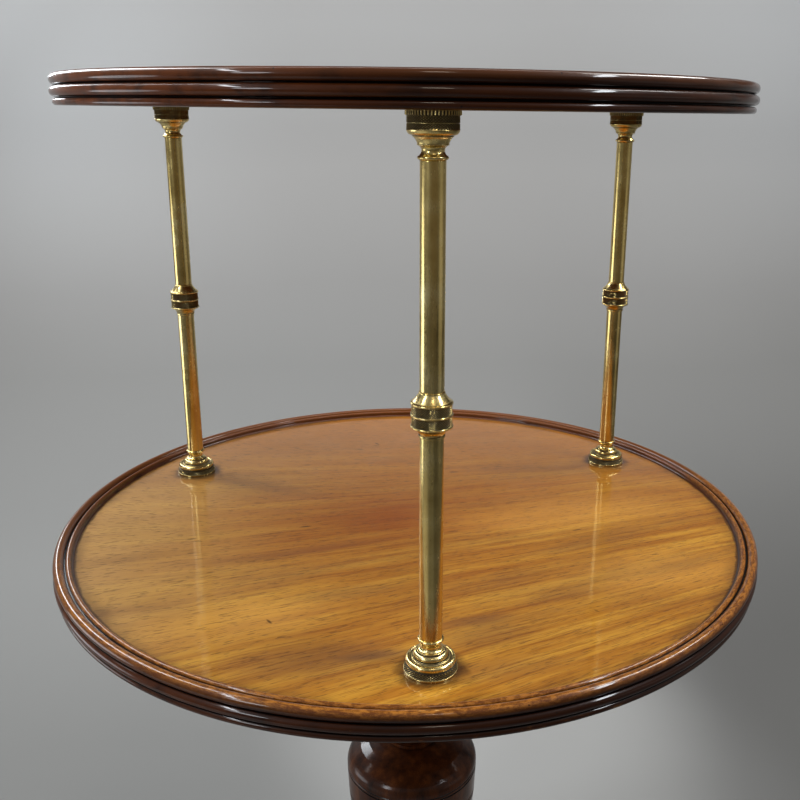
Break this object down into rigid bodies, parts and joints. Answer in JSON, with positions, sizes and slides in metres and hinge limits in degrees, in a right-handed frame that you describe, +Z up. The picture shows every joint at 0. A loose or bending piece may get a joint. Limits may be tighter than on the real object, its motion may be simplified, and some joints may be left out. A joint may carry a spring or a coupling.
{
  "type": "dumbwaiter table",
  "caption": "Two-tier round dumbwaiter table: dished mahogany trays on brass columns, turned pedestal, splayed legs and brass castors.",
  "frame": {"origin": "on the floor under the centre of the trays and the pedestal", "axes": "+Z up, -Y towards the first column and the first leg"},
  "size_m": [0.61, 0.61, 0.973],
  "materials": {
    "tray_mahogany": "faded mahogany, wax polished",
    "pedestal_mahogany": "dark mahogany, high gloss",
    "brass": "old polished brass",
    "iron": "darkened wrought iron"
  },
  "bodies": {
    "table": {"bearer_block": "pedestal_mahogany", "bearer_screws": "iron", "box_cap_1": "brass", "box_cap_2": "brass", "box_cap_3": "brass", "brace_plate": "iron", "brace_screws": "iron", "cap_screws": "brass", "column_collar_1": "brass", "column_collar_2": "brass", "column_collar_3": "brass", "column_cup_1": "brass", "column_cup_2": "brass", "column_cup_3": "brass", "column_foot_1": "brass", "column_foot_2": "brass", "column_foot_3": "brass", "leg_1": "pedestal_mahogany", "leg_2": "pedestal_mahogany", "leg_3": "pedestal_mahogany", "lower_tray": "tray_mahogany", "lower_tube_1": "brass", "lower_tube_2": "brass", "lower_tube_3": "brass", "pedestal": "pedestal_mahogany", "tenon_wedge": "pedestal_mahogany", "tie_ferrule_1": "brass", "tie_ferrule_2": "brass", "tie_ferrule_3": "brass", "tie_nut_1": "iron", "tie_nut_2": "iron", "tie_nut_3": "iron", "tie_rod_1": "iron", "tie_rod_2": "iron", "tie_rod_3": "iron", "tie_washer_1": "iron", "tie_washer_2": "iron", "tie_washer_3": "iron", "upper_tray": "tray_mahogany", "upper_tube_1": "brass", "upper_tube_2": "brass", "upper_tube_3": "brass"},
    "castor_1": {"castor_horn_1": "brass", "castor_axle_1": "iron"},
    "castor_2": {"castor_horn_2": "brass", "castor_axle_2": "iron"},
    "castor_3": {"castor_horn_3": "brass", "castor_axle_3": "iron"},
    "wheel_1": {"castor_wheel_1": "brass"},
    "wheel_2": {"castor_wheel_2": "brass"},
    "wheel_3": {"castor_wheel_3": "brass"}
  },
  "joints": [
    {"name": "castor_swivel_1", "type": "hinge", "parent": "table", "child": "castor_1", "pos_m": [0, -0.262, 0.036], "axis": [0, 0, 1], "continuous": true},
    {"name": "wheel_spin_1", "type": "hinge", "parent": "castor_1", "child": "wheel_1", "pos_m": [0, -0.274, 0.015], "axis": [1, 0, 0], "continuous": true},
    {"name": "castor_swivel_2", "type": "hinge", "parent": "table", "child": "castor_2", "pos_m": [0.2269, 0.131, 0.036], "axis": [0, 0, 1], "continuous": true},
    {"name": "wheel_spin_2", "type": "hinge", "parent": "castor_2", "child": "wheel_2", "pos_m": [0.23729, 0.137, 0.015], "axis": [-0.5, 0.866, 0], "continuous": true},
    {"name": "castor_swivel_3", "type": "hinge", "parent": "table", "child": "castor_3", "pos_m": [-0.2269, 0.131, 0.036], "axis": [0, 0, 1], "continuous": true},
    {"name": "wheel_spin_3", "type": "hinge", "parent": "castor_3", "child": "wheel_3", "pos_m": [-0.23729, 0.137, 0.015], "axis": [-0.5, -0.866, 0], "continuous": true}
  ]
}
